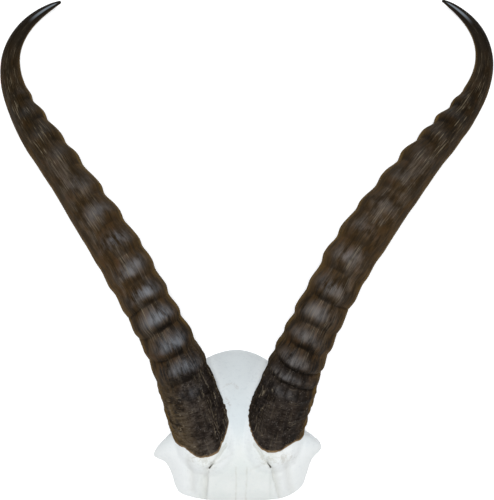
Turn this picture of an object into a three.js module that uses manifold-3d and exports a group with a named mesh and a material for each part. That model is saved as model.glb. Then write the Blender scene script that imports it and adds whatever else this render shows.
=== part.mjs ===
// A pair of ringed antelope horns on the sawn top of the skull, lying face up.
// Millimetres, +Z up. The sawn underside of the bone rests on z = 0, the forehead's front edge
// faces -Y and the horn tips point to +Y, where the backs of the horns come down almost to
// z = 0 again.

import * as THREE from "three";
import { mergeVertices } from "three/addons/utils/BufferGeometryUtils.js";
import Module from "manifold-3d";

// ---------------------------------------------------------------- driving dimensions: horns

// Each horn grows along an axis given by its heading in plan, in degrees from +X, at distances
// along the axis in millimetres. Rings are the distances of the ring crests, and ringsFrom is the
// distance at which they have nearly grown to their full height.
const LEFT_HORN = {
  name: "horn_left",
  medial: 1,
  base: [-26.4, -125.2, 18.4],
  length: 360.4,
  heading: [
    [0, 108.7],
    [40, 106.9],
    [80, 115.8],
    [120, 119.2],
    [160, 123.8],
    [200, 125.7],
    [240, 126],
    [270, 118],
    [295, 95.9],
    [315, 64.5],
    [335, 37.6],
    [355, 20.7],
  ],
  rings: [45, 64, 81, 97, 113, 130, 148, 168, 189, 216, 236, 257, 274],
  ringsFrom: 56,
};
const RIGHT_HORN = {
  name: "horn_right",
  medial: -1,
  base: [16.5, -123.3, 18.4],
  length: 361.8,
  heading: [
    [0, 79.7],
    [40, 71.7],
    [80, 65.3],
    [120, 61.4],
    [160, 54.7],
    [200, 50.7],
    [240, 49.1],
    [270, 52.3],
    [295, 72.2],
    [315, 103],
    [335, 134.3],
    [355, 153.4],
  ],
  rings: [45, 57, 68, 82, 97, 115, 134, 153, 173, 193, 216, 236, 254, 272, 286],
  ringsFrom: 50,
};

// The rise of both axes above the horizontal, in degrees, at distances along the axis.
const HORN_RISE = [
  [0, 34],
  [40, 28],
  [80, 16],
  [120, 1],
  [160, -13],
  [200, -21.5],
  [240, -26.6],
  [270, -22.6],
  [300, -5],
  [325, 15],
  [345, 31],
  [360, 40],
];
// Half the width of a horn, at parts of its length, and how much deeper than wide it is.
const HORN_HALF_WIDTH = [
  [0, 18.4],
  [0.1, 18],
  [0.25, 15.8],
  [0.45, 15],
  [0.58, 12.8],
  [0.7, 10.8],
  [0.78, 8.1],
  [0.86, 5.5],
  [0.93, 3.6],
  [0.975, 2.15],
  [1, 0.9],
];
const HORN_DEPTH_AT_BASE = 1.02;
const HORN_DEPTH_AT_TIP = 1.0;

// The rings, each as a pair for the lower and the upper part of a horn: their height from groove
// to crest, how far round from the front towards the other horn they stand highest, in degrees,
// and the share of the height that is left opposite.
const RING_HEIGHT = [1.8, 1.7];
const RING_FACING = [20, 85];
const RING_LEAST = [0.35, 0.03];
const RING_CHANGE = [0.3, 0.55]; // parts of the length between which the one turns into the other
const RING_SPREAD = 1.5; // power of the fall of the height round the horn
const RING_SHARPNESS = 1.8; // power of the sine between two grooves
const RING_GROWTH = [-12, 6]; // from and to, round ringsFrom
const RING_LAST = [265, 290]; // distances over which the rings die away
const RING_MEAN = 0.5; // the share of the height that lies under the plain horn
const RING_RISE_PART = 0.38; // of the pitch, from a groove up to its crest, on the base side
const BURIED = 1; // how far the axis runs back into the bone, where the bone cuts it off
const SEAT_GAP = 0.3; // between the bone and a horn's seat
const SEAT_FLOOR = -40; // below every part of a horn

// ---------------------------------------------------------------- driving dimensions: skull

// The plan outline of the bone, from the crown clockwise.
const SKULL_OUTLINE = [
  [-6, -65.5],
  [4, -67.5],
  [13.5, -72.5],
  [22, -80.5],
  [28, -92.5],
  [30, -105.5],
  [34, -115],
  [43, -121.5],
  [48.3, -127.6],
  [42, -135.8],
  [38.8, -145.5],
  [35.2, -154.2],
  [24.6, -161],
  [8, -163],
  [-10, -163.2],
  [-26.7, -162.5],
  [-42, -159],
  [-46.5, -153.5],
  [-49.2, -144.5],
  [-53, -137.5],
  [-60.6, -132.6],
  [-53.4, -123],
  [-43.5, -114],
  [-40.5, -104],
  [-40, -92.5],
  [-35.5, -80],
  [-27, -71.5],
  [-17, -67],
];
const MIDLINE_X = -6;
const TOP_CENTRE = [MIDLINE_X, -125];
// Height of the bone over the midline, at places along Y.
const SKULL_PROFILE = [
  [-163, 17],
  [-150, 22],
  [-138, 27.5],
  [-125, 31.5],
  [-112, 33],
  [-98, 32.5],
  [-85, 30],
  [-65, 23],
];
const SIDE_FALL = 0.0026; // fall of the forehead per square millimetre from the midline
const CROWN_EDGE = 3; // height of the saw cut's edge round the crown
const CROWN_START = 0.1; // sine of the bearing from the centre where the crown's rounding starts
const CROWN_FULL = 0.6; // and where it is full
const CROWN_ROUNDING = 3.2;
const LIP_FALL = 3.5; // rounding of the brow's edge
const LIP_SHARPNESS = 12;
// The bony foot in front of each horn. Along the horn's plan direction it stands to its full
// height from front to back, falls off over slope before and over fade behind, and its front
// bows back by bow for each square millimetre to the side.
const PEDICLE = { top: 36, front: -10, slope: 12, bow: 0.035, back: 6, fade: 8, half: 12, flank: 8 };
// The middle of the brow stands a step higher, out to offset from the midline and from back forward.
const BROW_STEP = { height: 1.2, offset: 20, width: 2, back: -139, run: 5 };

const LIP_THICKNESS = 4;
// Hollows that open under the edge: an eye socket on each side and the nose in front.
const SIDE_HOLLOWS = [
  { at: [38, -144], reach: 12, depth: 13 },
  { at: [-48, -144.5], reach: 12, depth: 13 },
  { at: [MIDLINE_X, -163], reach: 15, depth: 12 },
];
const BRAIN_HOLLOW = { centre: [MIDLINE_X, -97], half: [25, 24], height: 27 };

// Where the drawing's origin lies in the part's frame, in the middle of its footprint.
const SHIFT = [0.15, 1.2, 0];

// ---------------------------------------------------------------- mesh fineness

const HORN_SIDES = 20;
const BASE_ROWS = [5, 11, 17, 24, 31]; // distances of the rows before the first ring
const FALLING_ROW = 0.45; // place of a row between a crest and the next groove
const TIP_ROWS = 14;
const OUTLINE_STEPS = 2; // between two outline points
const TOP_ROWS = 14;
const WALL_ROWS = 4;
const HOLLOW_ROWS = 5;
const AXIS_STEP = 1;

// ---------------------------------------------------------------- shared maths

const RADIANS = Math.PI / 180;

function smoothstep(low, high, x) {
  const t = Math.min(1, Math.max(0, (x - low) / (high - low)));
  return t * t * (3 - 2 * t);
}

// A smooth curve through stations of [place, value], each with the slope between its neighbours.
function through(stations, place) {
  const last = stations.length - 1;
  const slope = (a, b) => (stations[b][1] - stations[a][1]) / (stations[b][0] - stations[a][0]);
  const tangent = (k) => slope(Math.max(k - 1, 0), Math.min(k + 1, last));
  let k = 0;
  while (k < last - 1 && place >= stations[k + 1][0]) k += 1;
  const [x0, y0] = stations[k];
  const [x1, y1] = stations[k + 1];
  const h = x1 - x0;
  const t = (place - x0) / h;
  return (
    (2 * t ** 3 - 3 * t ** 2 + 1) * y0 +
    (t ** 3 - 2 * t ** 2 + t) * h * tangent(k) +
    (3 * t ** 2 - 2 * t ** 3) * y1 +
    (t ** 3 - t ** 2) * h * tangent(k + 1)
  );
}

// A closed mesh from rows of points round it, with a single point at each end. The points of a
// row run clockwise, seen from outside the first end.
function closedGrid(firstPole, rows, lastPole) {
  const columns = rows[0].length;
  const points = [firstPole, ...rows.flat(), lastPole];
  const at = (row, column) => 1 + row * columns + (column % columns);
  const index = [];
  for (let c = 0; c < columns; c += 1) {
    index.push(0, at(0, c + 1), at(0, c));
    for (let r = 0; r < rows.length - 1; r += 1) {
      index.push(at(r, c), at(r + 1, c + 1), at(r + 1, c));
      index.push(at(r, c), at(r, c + 1), at(r + 1, c + 1));
    }
    index.push(points.length - 1, at(rows.length - 1, c), at(rows.length - 1, c + 1));
  }
  const geometry = new THREE.BufferGeometry().setFromPoints(points);
  geometry.setIndex(index);
  return geometry;
}

// ---------------------------------------------------------------- horn

// The axis starts inside the bone and follows its heading and its rise.
function hornAxis(horn) {
  const point = new THREE.Vector3(...horn.base);
  const stations = [];
  const direction = (s) => {
    const heading = through(horn.heading, Math.max(s, 0)) * RADIANS;
    const rise = through(HORN_RISE, Math.max(s, 0)) * RADIANS;
    return new THREE.Vector3(
      Math.cos(rise) * Math.cos(heading),
      Math.cos(rise) * Math.sin(heading),
      Math.sin(rise),
    );
  };
  point.addScaledVector(direction(0), -BURIED);
  for (let s = -BURIED; s <= horn.length; s += AXIS_STEP) {
    stations.push({ s, point: point.clone(), along: direction(s) });
    point.addScaledVector(direction(s + AXIS_STEP / 2), AXIS_STEP);
  }
  return stations;
}

function axisAt(stations, s) {
  const place = Math.min(stations.length - 1.001, Math.max(0, (s + BURIED) / AXIS_STEP));
  const k = Math.floor(place);
  const point = stations[k].point.clone().lerp(stations[k + 1].point, place - k);
  const along = stations[k].along.clone().lerp(stations[k + 1].along, place - k).normalize();
  return { point, along };
}

// The grooves lie on the base side of the crests.
function grooves(rings) {
  const found = rings.slice(1).map((crest, k) => crest - RING_RISE_PART * (crest - rings[k]));
  const first = rings[0] - RING_RISE_PART * (rings[1] - rings[0]);
  const last = rings.length - 1;
  const end = rings[last] + (1 - RING_RISE_PART) * (rings[last] - rings[last - 1]);
  return [first, ...found, end];
}

// 0 in a groove, 1 on a crest, and 0 outside the ringed stretch.
function ringWave(horn, s) {
  const cuts = grooves(horn.rings);
  if (s <= cuts[0] || s >= cuts[cuts.length - 1]) return 0;
  let k = 0;
  while (s >= cuts[k + 1]) k += 1;
  const crest = horn.rings[k];
  const phase =
    s < crest
      ? (0.5 * (s - cuts[k])) / (crest - cuts[k])
      : 0.5 + (0.5 * (s - crest)) / (cuts[k + 1] - crest);
  return Math.sin(Math.PI * phase) ** RING_SHARPNESS;
}

// Rings stand highest where they face, grow in over the first of them and die away at the last.
function ringHeight(horn, s, angle) {
  const change = smoothstep(...RING_CHANGE, s / horn.length);
  const changed = ([lower, upper]) => lower + (upper - lower) * change;
  const turned = angle - horn.medial * changed(RING_FACING) * RADIANS;
  const facing = (0.5 + 0.5 * Math.cos(turned)) ** RING_SPREAD;
  const least = changed(RING_LEAST);
  const [before, after] = RING_GROWTH;
  const begun = smoothstep(horn.ringsFrom + before, horn.ringsFrom + after, s);
  const fade = begun * (1 - smoothstep(...RING_LAST, s));
  return changed(RING_HEIGHT) * fade * (least + (1 - least) * facing);
}

// The distances of the rows: four a ring, and a few on the plain base and tip.
function hornRows(horn) {
  const cuts = grooves(horn.rings);
  const rows = [-BURIED, ...BASE_ROWS];
  horn.rings.forEach((crest, k) => {
    rows.push(cuts[k], (cuts[k] + crest) / 2, crest, crest + FALLING_ROW * (cuts[k + 1] - crest));
  });
  const end = cuts[cuts.length - 1];
  for (let k = 0; k < TIP_ROWS; k += 1) rows.push(end + ((horn.length - end) * k) / TIP_ROWS);
  return rows;
}

function hornGeometry(horn) {
  const stations = hornAxis(horn);
  const up = new THREE.Vector3(0, 0, 1);
  const rows = hornRows(horn).map((s) => {
    const { point, along } = axisAt(stations, s);
    const front = up.clone().addScaledVector(along, -up.dot(along)).normalize();
    const side = along.clone().cross(front);
    const part = Math.max(s, 0) / horn.length;
    const width = through(HORN_HALF_WIDTH, part);
    const depth = HORN_DEPTH_AT_BASE + (HORN_DEPTH_AT_TIP - HORN_DEPTH_AT_BASE) * part;
    const row = [];
    for (let k = 0; k < HORN_SIDES; k += 1) {
      const angle = (2 * Math.PI * k) / HORN_SIDES;
      const relief = (ringWave(horn, s) - RING_MEAN) * ringHeight(horn, s, angle);
      const grown = 1 + relief / width;
      row.push(
        point
          .clone()
          .addScaledVector(front, width * depth * grown * Math.cos(angle))
          .addScaledVector(side, width * grown * Math.sin(angle)),
      );
    }
    return row;
  });
  const tip = axisAt(stations, horn.length).point;
  return closedGrid(stations[0].point, rows, tip);
}

// ---------------------------------------------------------------- skull plate

function outlinePoints() {
  const corners = SKULL_OUTLINE.map(([x, y]) => new THREE.Vector3(x, y, 0));
  const curve = new THREE.CatmullRomCurve3(corners, true, "catmullrom", 0.5);
  return curve.getPoints(corners.length * OUTLINE_STEPS).slice(0, -1);
}

// How fully the bony foot of a horn stands at (x, y), from 0 to 1.
function pedicleShare(horn, x, y) {
  const heading = horn.heading[0][1] * RADIANS;
  const dx = x - horn.base[0];
  const dy = y - horn.base[1];
  const ahead = dx * Math.cos(heading) + dy * Math.sin(heading);
  const aside = Math.abs(dx * Math.sin(heading) - dy * Math.cos(heading));
  const fromFront = ahead - PEDICLE.bow * aside ** 2;
  const front = smoothstep(PEDICLE.front - PEDICLE.slope, PEDICLE.front, fromFront);
  const flank = 1 - smoothstep(PEDICLE.half, PEDICLE.half + PEDICLE.flank, aside);
  const back = 1 - smoothstep(PEDICLE.back, PEDICLE.back + PEDICLE.fade, ahead);
  return front * flank * back;
}

// Height of the bone at (x, y), which lies at part u of the way from the centre to the outline.
function skullHeight(x, y, u) {
  const [cx, cy] = TOP_CENTRE;
  const across = Math.abs(x - MIDLINE_X);
  let vault = through(SKULL_PROFILE, y) - SIDE_FALL * across ** 2;
  for (const horn of [LEFT_HORN, RIGHT_HORN]) {
    vault += (PEDICLE.top - vault) * pedicleShare(horn, x, y);
  }
  const panel = smoothstep(BROW_STEP.offset + BROW_STEP.width, BROW_STEP.offset, across);
  const forward = smoothstep(BROW_STEP.back + BROW_STEP.run, BROW_STEP.back, y);
  vault += BROW_STEP.height * panel * forward;
  const bearing = (y - cy) / Math.max(Math.hypot(x - cx, y - cy), 1e-6);
  const crown = smoothstep(CROWN_START, CROWN_FULL, bearing);
  const rounding = Math.sqrt(Math.max(0, 1 - u ** CROWN_ROUNDING));
  const rounded = CROWN_EDGE + (vault - CROWN_EDGE) * (1 - crown + crown * rounding);
  return rounded - (1 - crown) * LIP_FALL * u ** LIP_SHARPNESS;
}

// How far the wall under an outline point is hollowed inwards at the saw cut.
function hollowDepth(edge) {
  let depth = 0;
  for (const { at, reach, depth: deepest } of SIDE_HOLLOWS) {
    const away = Math.hypot(edge.x - at[0], edge.y - at[1]) / reach;
    if (away < 1) depth = Math.max(depth, deepest * Math.sqrt(1 - away ** 2));
  }
  return depth;
}

// The bone as one closed surface: over the top from its centre to the outline, down the wall and
// under the lip, in along the saw cut, and up inside the hollow of the brain.
function skullGeometry() {
  const edge = outlinePoints();
  const [cx, cy] = TOP_CENTRE;
  const [hx, hy] = BRAIN_HOLLOW.centre;
  const rows = [];
  for (let r = 1; r <= TOP_ROWS; r += 1) {
    const u = Math.sin((0.5 * Math.PI * r) / TOP_ROWS);
    rows.push(
      edge.map((point) => {
        const x = cx + u * (point.x - cx);
        const y = cy + u * (point.y - cy);
        return new THREE.Vector3(x, y, skullHeight(x, y, u));
      }),
    );
  }
  const rim = rows[rows.length - 1];
  const inward = edge.map((point, k) => {
    const before = edge[(k + edge.length - 1) % edge.length];
    const after = edge[(k + 1) % edge.length];
    return new THREE.Vector3(after.y - before.y, before.x - after.x, 0).normalize();
  });
  for (let r = 0; r <= WALL_ROWS; r += 1) {
    const turn = (0.5 * Math.PI * r) / WALL_ROWS;
    rows.push(
      edge.map((point, k) => {
        const lip = Math.min(LIP_THICKNESS, rim[k].z / 2);
        const place = point.clone().addScaledVector(inward[k], hollowDepth(point) * Math.sin(turn));
        place.z = (rim[k].z - lip) * Math.cos(turn);
        return place;
      }),
    );
  }
  for (let r = 0; r < HOLLOW_ROWS; r += 1) {
    const turn = (0.5 * Math.PI * r) / HOLLOW_ROWS;
    rows.push(
      edge.map((point) => {
        const bearing = Math.atan2(point.y - hy, point.x - hx);
        return new THREE.Vector3(
          hx + BRAIN_HOLLOW.half[0] * Math.cos(bearing) * Math.cos(turn),
          hy + BRAIN_HOLLOW.half[1] * Math.sin(bearing) * Math.cos(turn),
          BRAIN_HOLLOW.height * Math.sin(turn),
        );
      }),
    );
  }
  const top = new THREE.Vector3(cx, cy, skullHeight(cx, cy, 0));
  return closedGrid(top, rows, new THREE.Vector3(hx, hy, BRAIN_HOLLOW.height));
}

// What the bone takes out of a horn: everything under its top, with the seat's gap.
function seatGeometry() {
  const edge = outlinePoints();
  const [cx, cy] = TOP_CENTRE;
  const rows = [];
  for (let r = 1; r <= TOP_ROWS; r += 1) {
    const u = Math.sin((0.5 * Math.PI * r) / TOP_ROWS);
    rows.push(
      edge.map((point) => {
        const x = cx + u * (point.x - cx);
        const y = cy + u * (point.y - cy);
        const grow = 1 + SEAT_GAP / Math.hypot(point.x - cx, point.y - cy);
        const z = skullHeight(x, y, u) + SEAT_GAP;
        return new THREE.Vector3(cx + (x - cx) * grow, cy + (y - cy) * grow, z);
      }),
    );
  }
  rows.push(rows[rows.length - 1].map((point) => new THREE.Vector3(point.x, point.y, SEAT_FLOOR)));
  const top = new THREE.Vector3(cx, cy, skullHeight(cx, cy, 0) + SEAT_GAP);
  return closedGrid(top, rows, new THREE.Vector3(cx, cy, SEAT_FLOOR));
}

// ---------------------------------------------------------------- cutting the seats

const wasm = await Module();
wasm.setup();

function solidOf(geometry) {
  const merged = mergeVertices(geometry, 1e-4);
  return new wasm.Manifold(
    new wasm.Mesh({
      numProp: 3,
      vertProperties: merged.attributes.position.array,
      triVerts: new Uint32Array(merged.index.array),
    }),
  );
}

// A horn without the bone's share, and without the crumbs that the cut leaves in front of it.
function seatedHorn(horn, seat) {
  const bodies = solidOf(hornGeometry(horn)).subtract(seat).decompose();
  return bodies.reduce((largest, body) => (body.volume() > largest.volume() ? body : largest));
}

function geometryOf(solid) {
  const mesh = solid.getMesh();
  const geometry = new THREE.BufferGeometry();
  geometry.setAttribute("position", new THREE.BufferAttribute(mesh.vertProperties, 3));
  geometry.setIndex(new THREE.BufferAttribute(mesh.triVerts, 1));
  return geometry;
}

// ---------------------------------------------------------------- the part

const bone = new THREE.MeshStandardMaterial({ color: 0xe4e9ea, roughness: 0.6, metalness: 0 });
const sheath = new THREE.MeshStandardMaterial({ color: 0x3b342e, roughness: 0.5, metalness: 0 });

function partMesh(name, geometry, material) {
  const placed = geometry.translate(...SHIFT).toNonIndexed();
  placed.computeVertexNormals();
  const mesh = new THREE.Mesh(placed, material);
  mesh.name = name;
  return mesh;
}

const antelopeHorns = new THREE.Group();
antelopeHorns.name = "antelope_horns";
antelopeHorns.add(partMesh("skull_plate", skullGeometry(), bone));
const seat = solidOf(seatGeometry());
for (const horn of [LEFT_HORN, RIGHT_HORN]) {
  antelopeHorns.add(partMesh(horn.name, geometryOf(seatedHorn(horn, seat)), sheath));
}

export default antelopeHorns;
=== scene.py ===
"""Ringed antelope horns on the bleached top of the skull, lying face up on a pale floor.

Shapes are worked out in millimetres, in the drawing frame of the horns, and put into Blender in
metres with the drawing's shift added.
"""

import bpy
import numpy as np
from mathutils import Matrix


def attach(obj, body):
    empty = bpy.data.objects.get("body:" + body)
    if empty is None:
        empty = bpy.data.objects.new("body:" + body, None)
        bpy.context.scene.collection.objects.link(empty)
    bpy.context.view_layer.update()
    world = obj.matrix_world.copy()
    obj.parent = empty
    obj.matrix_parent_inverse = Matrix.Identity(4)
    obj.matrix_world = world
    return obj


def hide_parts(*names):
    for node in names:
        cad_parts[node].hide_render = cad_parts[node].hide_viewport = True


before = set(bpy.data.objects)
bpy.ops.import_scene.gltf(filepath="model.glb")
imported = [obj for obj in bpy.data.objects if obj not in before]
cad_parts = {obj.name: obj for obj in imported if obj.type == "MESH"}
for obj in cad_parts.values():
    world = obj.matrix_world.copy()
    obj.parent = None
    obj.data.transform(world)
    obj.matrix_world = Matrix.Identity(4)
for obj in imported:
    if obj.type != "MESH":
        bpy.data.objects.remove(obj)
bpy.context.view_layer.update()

# ------------------------------------------------------------------ sizes, shared with the solids

METRE = 0.001  # metres in a millimetre
SHIFT = np.array([0.15, 1.2, 0.0])  # from the drawing frame to the part's frame
TURN = 2 * np.pi

LEFT_HORN = {
    "name": "horn_left",
    "medial": 1,
    "base": (-26.4, -125.2, 18.4),
    "length": 360.4,
    "heading": (
        (0, 108.7), (40, 106.9), (80, 115.8), (120, 119.2), (160, 123.8), (200, 125.7),
        (240, 126), (270, 118), (295, 95.9), (315, 64.5), (335, 37.6), (355, 20.7),
    ),
    "rings": (45, 64, 81, 97, 113, 130, 148, 168, 189, 216, 236, 257, 274),
    "rings_from": 56,
    "rim": (-60, 30, 1.8),
    "pale": 1.0,
    "seed": 11,
}
RIGHT_HORN = {
    "name": "horn_right",
    "medial": -1,
    "base": (16.5, -123.3, 18.4),
    "length": 361.8,
    "heading": (
        (0, 79.7), (40, 71.7), (80, 65.3), (120, 61.4), (160, 54.7), (200, 50.7),
        (240, 49.1), (270, 52.3), (295, 72.2), (315, 103), (335, 134.3), (355, 153.4),
    ),
    "rings": (45, 57, 68, 82, 97, 115, 134, 153, 173, 193, 216, 236, 254, 272, 286),
    "rings_from": 50,
    "rim": (-25, 38, 2.6),
    "pale": 0.0,
    "seed": 47,
}
HORN_RISE = (
    (0, 34), (40, 28), (80, 16), (120, 1), (160, -13), (200, -21.5),
    (240, -26.6), (270, -22.6), (300, -5), (325, 15), (345, 31), (360, 40),
)
HORN_HALF_WIDTH = (
    (0, 18.4), (0.1, 18), (0.25, 15.8), (0.45, 15), (0.58, 12.8), (0.7, 10.8),
    (0.78, 8.1), (0.86, 5.5), (0.93, 3.6), (0.975, 2.15), (1, 0.9),
)
HORN_DEPTH = (1.02, 1.0)  # depth over width, at the base and at the tip
RING_HEIGHT = (1.8, 1.7)  # on the lower and the upper part
RING_FACING = (20, 85)  # degrees round from the front, on the lower and the upper part
RING_LEAST = (0.35, 0.03)  # share of the height opposite, on the lower and the upper part
RING_CHANGE = (0.3, 0.55)  # parts of the length between which the rings change
RING_RISE_PART = 0.38  # of the pitch, from a groove up to its crest, on the base side
RING_SHARPNESS = 1.8  # power of the sine between two grooves
RING_SPREAD = 1.5  # power of the fall of the height round the horn
RING_GROWTH = (-12, 6)  # from and to, round rings_from
RING_LAST = (265, 290)  # distances over which the rings die away

SKULL_OUTLINE = (
    (-6, -65.5), (4, -67.5), (13.5, -72.5), (22, -80.5), (28, -92.5), (30, -105.5),
    (34, -115), (43, -121.5), (48.3, -127.6), (42, -135.8), (38.8, -145.5), (35.2, -154.2),
    (24.6, -161), (8, -163), (-10, -163.2), (-26.7, -162.5), (-42, -159), (-46.5, -153.5),
    (-49.2, -144.5), (-53, -137.5), (-60.6, -132.6), (-53.4, -123), (-43.5, -114),
    (-40.5, -104), (-40, -92.5), (-35.5, -80), (-27, -71.5), (-17, -67),
)
MIDLINE_X = -6
TOP_CENTRE = np.array([MIDLINE_X, -125])
SKULL_PROFILE = (
    (-163, 17), (-150, 22), (-138, 27.5), (-125, 31.5),
    (-112, 33), (-98, 32.5), (-85, 30), (-65, 23),
)
SIDE_FALL = 0.0026  # of the height, with the square of the distance from the midline
CROWN_EDGE = 3  # height of the crown's edge
CROWN_BEARING = (0.1, 0.6)  # sines of the bearings between which the crown's rounding sets in
CROWN_ROUNDING = 3.2
LIP_FALL, LIP_POWER = 3.5, 12  # of the brow, at its edge
LIP_THICKNESS = 4
PEDICLE = {
    "top": 36, "front": -10, "slope": 12, "bow": 0.035,
    "back": 6, "fade": 8, "half": 12, "flank": 8,
}
BROW_STEP = {"height": 1.2, "offset": 20, "width": 2, "front": -145, "back": -129}
SIDE_HOLLOWS = (
    ((38, -144), 12, 13),
    ((-48, -144.5), 12, 13),
    ((MIDLINE_X, -163), 15, 12),
)
BRAIN_CENTRE = np.array([MIDLINE_X, -97])
BRAIN_HALF = np.array([25, 24])
BRAIN_HEIGHT = 27

# ------------------------------------------------------------------ fineness of the meshes

HORN_COLUMNS = 150
HORN_ROWS = 640
HORN_ROW_POWER = 0.96  # of the rows' share of the length
SKULL_COLUMNS = 420
TOP_ROWS, LIP_ROWS, WALL_ROWS, CUT_ROWS, HOLLOW_ROWS = 150, 5, 22, 8, 28
OUTLINE_STEPS = 24  # between two corners of the outline
EDGE_POINTS = 1200  # of the outline, where a bearing is looked up in it

# ------------------------------------------------------------------ sizes of the fine relief

# Heights of the fine relief, and distances along the horn where that is said, in millimetres.
RINGS_STRAY = (1.6, 0.5)  # along the horn, broadly and finely
CUT_DEPTH = 0.45
LUMP_HEIGHT = 0.45
FIBRE_HEIGHT = 0.1
FLAKE_HEIGHT = 0.9
CRUMPLE_HEIGHT = 0.9
LIP_HEIGHT = 0.9
RAGGED = 0.4  # of the rim, along the horn
RIM_BURIED = 0.6  # how far along the horn it starts before it leaves the bone
RIM_TUCKED = 2.2  # how far its first row is drawn in
RIM_BLEND_END = 70  # distance from which all lines share their rows
RIM_REACH = 2.2  # of the mask of the rim
LEATHER_END = (38, 74)  # distances over which the leather ends
ROOT_PLACE = 10  # distance of the point that closes the base
SEAT_PLACES = (0, 62, 0.2)  # first, last and step of the distances tried for the seat
LOWER_END = (95, 135)  # distances over which the cracks and the strong front of the rings end
FRONT_SHARPNESS, GROOVE_SHARPNESS = 0.16, 0.25  # of the fall of the masks from the front
MASKS_FACE = 0.15  # radians from the front towards the other horn, of crests and grooves below
MASKS_TURN = 0.55  # radians more, of grooves above
CRACK_WIDTH = 0.7
ROUGH_END = (0.72, 0.86)  # parts of the length over which the lumps and fibres end
# Noises of a horn: cells round and along it, the number added to its seed, and the layers.
HORN_CELLS = {
    "stray": ((5, 22), 0, 1),
    "tremble": ((16, 60), 1, 1),
    "height": ((4, 20), 2, 1),
    "lumps": ((5, 18), 3, 2),
    "cuts": ((6, 30), 5, 1),
    "fibres": ((37, 26), 6, 2),
    "leather": ((6, 12), 8, 1),
    "flakes": ((14, 18), 9, 2),
    "crumpled": ((9, 44), 13, 2),
}

# Lines of the brow in plan, each from its back to its front: the holes above the eyes, the edges
# of the raised middle panel, the creases beside the horns, the folds that fan to the middle, the
# ridges and valleys towards the eyes, the rough brows, rusty veins and the seams of the forehead.
SLITS = (((-24.0, -140.0), (-21.8, -137.3)), ((15.0, -139.7), (12.8, -136.6)))
PANEL_EDGES = (((-24.0, -139.6), (-26.2, -161)), ((15.1, -139.4), (19.8, -161.5)))
CREASES = (((-13.2, -124.5), (-22.0, -136.8)), ((5.2, -124.5), (12.2, -135.8)))
FOLDS = (((-21.5, -137.8), (-10, -131)), ((12.2, -136.6), (1.5, -142.5)))
RIDGES = (((-29.5, -139), (-31.5, -160)), ((19.5, -138), (24.5, -160)))
VALLEYS = (((-37.5, -134), (-35.2, -156)), ((24.2, -133), (29.2, -158)))
BROWS = (((-33, -133), (-25, -137.5)), ((11, -134.5), (27, -133.5)))
VEINS = (
    ((-14.2, -87.6), (-9.5, -86.2)),
    ((-9.5, -86.2), (-6.4, -88.9)),
    ((-13.6, -95.4), (-11.2, -99.6)),
)
SUTURES = (((-7.1, -140), (-7.3, -163)), ((-0.6, -140), (-0.9, -163)))
RIDGE_WIDTH = 3.2
# Relief along lines: the lines, the width and fading of the bell across them, and its height.
LINE_RELIEF = (
    (RIDGES, RIDGE_WIDTH, 0.0, 1.1),
    (VALLEYS, 3.0, 0.0, -1.5),
    (CREASES, 0.9, 0.0, -0.9),
    (FOLDS, 2.2, 0.7, -0.4),
)
# Painted shade along lines: the lines, the width and fading of the bell across them, and its share.
LINE_PAINTED_SHADE = (
    (CREASES, 0.9, 0.0, 0.8),
    (VALLEYS, 2.4, 0.0, 0.45),
    (SLITS, 2.6, 0.0, 0.5),
    (FOLDS, 0.9, 0.6, 0.5),
)
SLIT_WIDTH, SLIT_VARIES, SLIT_FADE, SLIT_DEPTH = 1.1, 0.35, 0.3, 2.4
VEIN_WIDTH = 0.9
SUTURE_WIDTH, SUTURE_DEPTH = 0.5, 0.13
PANEL_STEP, PANEL_RECOVERS = 1.9, 3.8
BROW_WIDTH, BROW_ROUGHNESS, BROW_SWELLING = 4.0, 0.8, 0.3
RIDGE_WRINKLES = 0.28
SWELLINGS, GRAININESS = 0.3, 0.05  # heights all over the bone
LINE_WAVER = (0.55, 0.25)  # of all lines, broadly and finely
DETAIL_ENDS = 24  # power of the share of the reach with which the detail dies at the outline
CLOSE_TO_HORN = 4.5  # width of the bell of the distance past a horn's side
HORN_PLACES = range(0, 90, 3)  # distances at which a horn's side is looked up
FOOT_SLOPE_POWER = 0.6
SKULL_FIELD = ((-80, 160), (-170, 120))  # start and span of the noises along x and y
# Noises of the bone: cells along x and y, the seed, and the layers.
SKULL_CELLS = {
    "swellings": ((9, 7), 301, 3),
    "grain": ((90, 68), 305, 2),
    "waver": ((34, 26), 311, 1),
    "tremble": ((90, 70), 312, 1),
    "slits": ((60, 46), 321, 1),
    "sutures": ((12, 60), 331, 1),
    "brows": ((40, 30), 341, 2),
    "ridges": ((22, 60), 351, 2),
    "veins": ((50, 40), 361, 1),
}

# ------------------------------------------------------------------ sizes of the set, in metres

FLOOR_HALF = 4.0
FLOOR_DEPTH = 0.0003
FLOOR_WHITE = (245, 245, 245)
FLOOR_GLOW = 0.35
BACKDROP_STRENGTH = 0.25
LAMP_TINT = (0.96, 0.98, 1.0)
LAMPS = (  # name, place, side and watts
    ("fill", (0.0, -0.9, 1.5), 0.9, 8),
    ("key", (0.0, 0.1, 1.8), 0.4, 25),
)


# ------------------------------------------------------------------ shared maths

def smooth(low, high, x):
    """0 below low, 1 above high, and 3t^2 - 2t^3 between them."""
    t = np.clip((x - low) / (high - low), 0, 1)
    return t * t * (3 - 2 * t)


def bump(x, width):
    """A bell of height 1 at x = 0: e to the power of minus (x / width) squared."""
    return np.exp(-((x / width) ** 2))


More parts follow.
